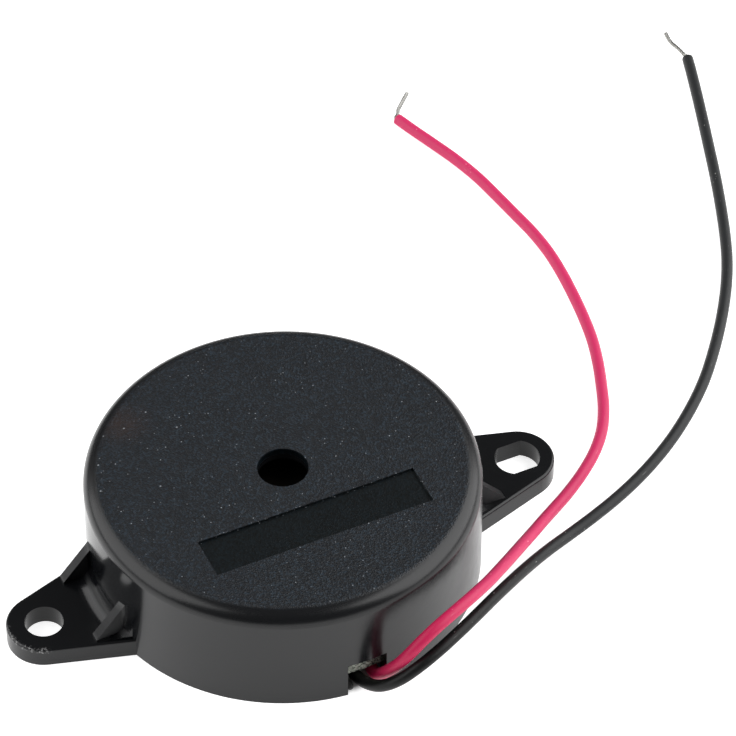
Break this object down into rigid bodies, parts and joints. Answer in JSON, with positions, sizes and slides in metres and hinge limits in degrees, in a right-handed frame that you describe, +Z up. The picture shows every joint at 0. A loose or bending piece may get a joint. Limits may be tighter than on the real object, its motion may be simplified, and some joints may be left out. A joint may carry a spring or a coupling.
{
  "type": "piezo buzzer",
  "caption": "Round moulded buzzer with screw ears, a sound hole in the top, a piezo disc and its driver board inside, and soft red and black leads.",
  "frame": {"origin": "centre of the case's open base, on the plane it rests on", "axes": "+X along the two ears towards the slotted one, -Y towards the lead notch, +Z up towards the sound hole"},
  "size_m": [0.1065, 0.0844, 0.0133],
  "materials": {
    "case_plastic": "glossy moulded sides, spark-eroded matt top",
    "brass": "rolled, semi-bright",
    "ceramic": "fired, matt",
    "silver": "printed silver, matt",
    "silicone": "satin",
    "solder": "bright, slightly grained",
    "wire_red": "satin",
    "wire_blue": "satin",
    "wire_black": "satin",
    "board_laminate": "glass-fibre laminate, satin faces and a rough cut edge",
    "copper": "lacquered copper",
    "glue": "translucent, glossy",
    "component_black": "moulded epoxy, matt",
    "tinned_wire": "tinned copper",
    "ferrite": "sintered, matt",
    "resistor_coat": "lacquer, semi-gloss",
    "diode_glass": "clear glass over a red-brown die seal",
    "dark_glue": "rough, glossy in spots",
    "lead_black": "soft satin insulation, lightly scuffed",
    "lead_red": "soft satin insulation"
  },
  "bodies": {
    "root": {"case": "case_plastic", "diaphragm_plate": "brass", "piezo_ceramic": "ceramic", "main_electrode": "silver", "feedback_electrode": "silver", "diaphragm_adhesive": "silicone", "sounder_solder_dots": "solder", "main_wire": "wire_red", "feedback_wire": "wire_blue", "ground_wire": "wire_black", "circuit_board": "board_laminate", "copper_tracks": "copper", "board_solder_joints": "solder", "board_adhesive": "glue", "transistor_body": "component_black", "transistor_pins": "tinned_wire", "choke_core": "ferrite", "choke_winding": "copper", "choke_pins": "tinned_wire", "bias_resistor_body": "resistor_coat", "bias_resistor_wires": "tinned_wire", "feedback_resistor_body": "resistor_coat", "feedback_resistor_wires": "tinned_wire", "diode_body": "diode_glass", "diode_wires": "tinned_wire", "lead_solder_joints": "solder", "lead_adhesive": "dark_glue", "black_lead": "lead_black", "black_lead_root": "tinned_wire", "black_lead_strands": "tinned_wire", "red_lead": "lead_red", "red_lead_root": "tinned_wire", "red_lead_strands": "tinned_wire"}
  },
  "joints": []
}
